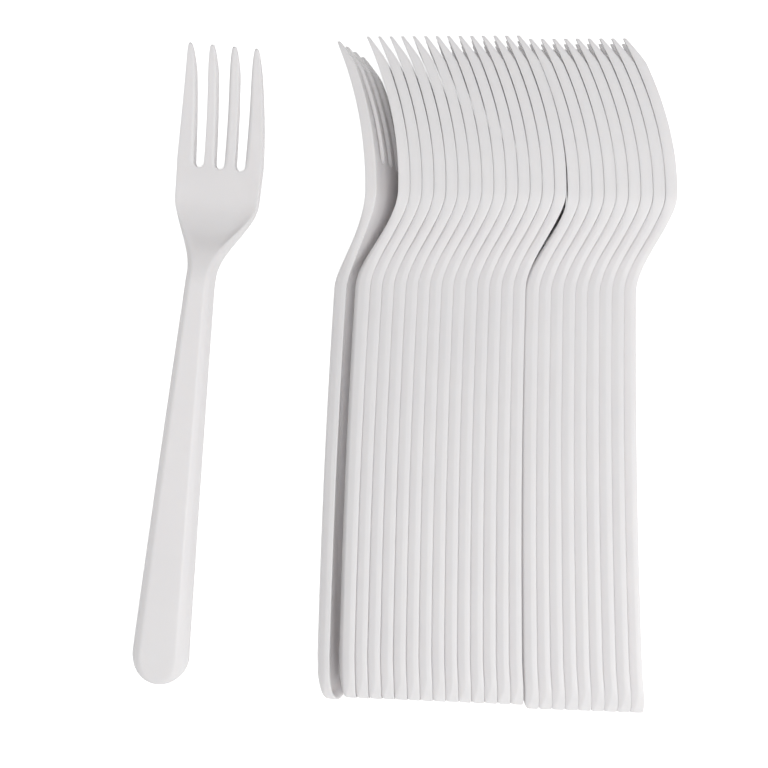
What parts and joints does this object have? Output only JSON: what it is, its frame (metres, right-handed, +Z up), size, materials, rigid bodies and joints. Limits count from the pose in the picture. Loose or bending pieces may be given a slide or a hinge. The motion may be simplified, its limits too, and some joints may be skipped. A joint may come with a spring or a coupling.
{
  "type": "pack of plastic forks",
  "caption": "White plastic table forks with channel-backed handles and curved tines: a nested stack lying on its side, with a single fork lying front up beside it.",
  "frame": {"origin": "middle of the pack's bounding box, on the table it lies on", "axes": "+Z up from the table, +Y from the handles towards the tips of the tines, +X from the loose fork towards the stack"},
  "size_m": [0.1488, 0.1812, 0.0247],
  "materials": {
    "white_plastic": "moulded white, semi-gloss"
  },
  "bodies": {
    "root": {"loose_fork": "white_plastic", "stacked_fork_01": "white_plastic", "stacked_fork_02": "white_plastic", "stacked_fork_03": "white_plastic", "stacked_fork_04": "white_plastic", "stacked_fork_05": "white_plastic", "stacked_fork_06": "white_plastic", "stacked_fork_07": "white_plastic", "stacked_fork_08": "white_plastic", "stacked_fork_09": "white_plastic", "stacked_fork_10": "white_plastic", "stacked_fork_11": "white_plastic", "stacked_fork_12": "white_plastic", "stacked_fork_13": "white_plastic", "stacked_fork_14": "white_plastic", "stacked_fork_15": "white_plastic", "stacked_fork_16": "white_plastic", "stacked_fork_17": "white_plastic", "stacked_fork_18": "white_plastic", "stacked_fork_19": "white_plastic", "stacked_fork_20": "white_plastic", "stacked_fork_21": "white_plastic", "stacked_fork_22": "white_plastic", "stacked_fork_23": "white_plastic", "stacked_fork_24": "white_plastic"}
  },
  "joints": []
}
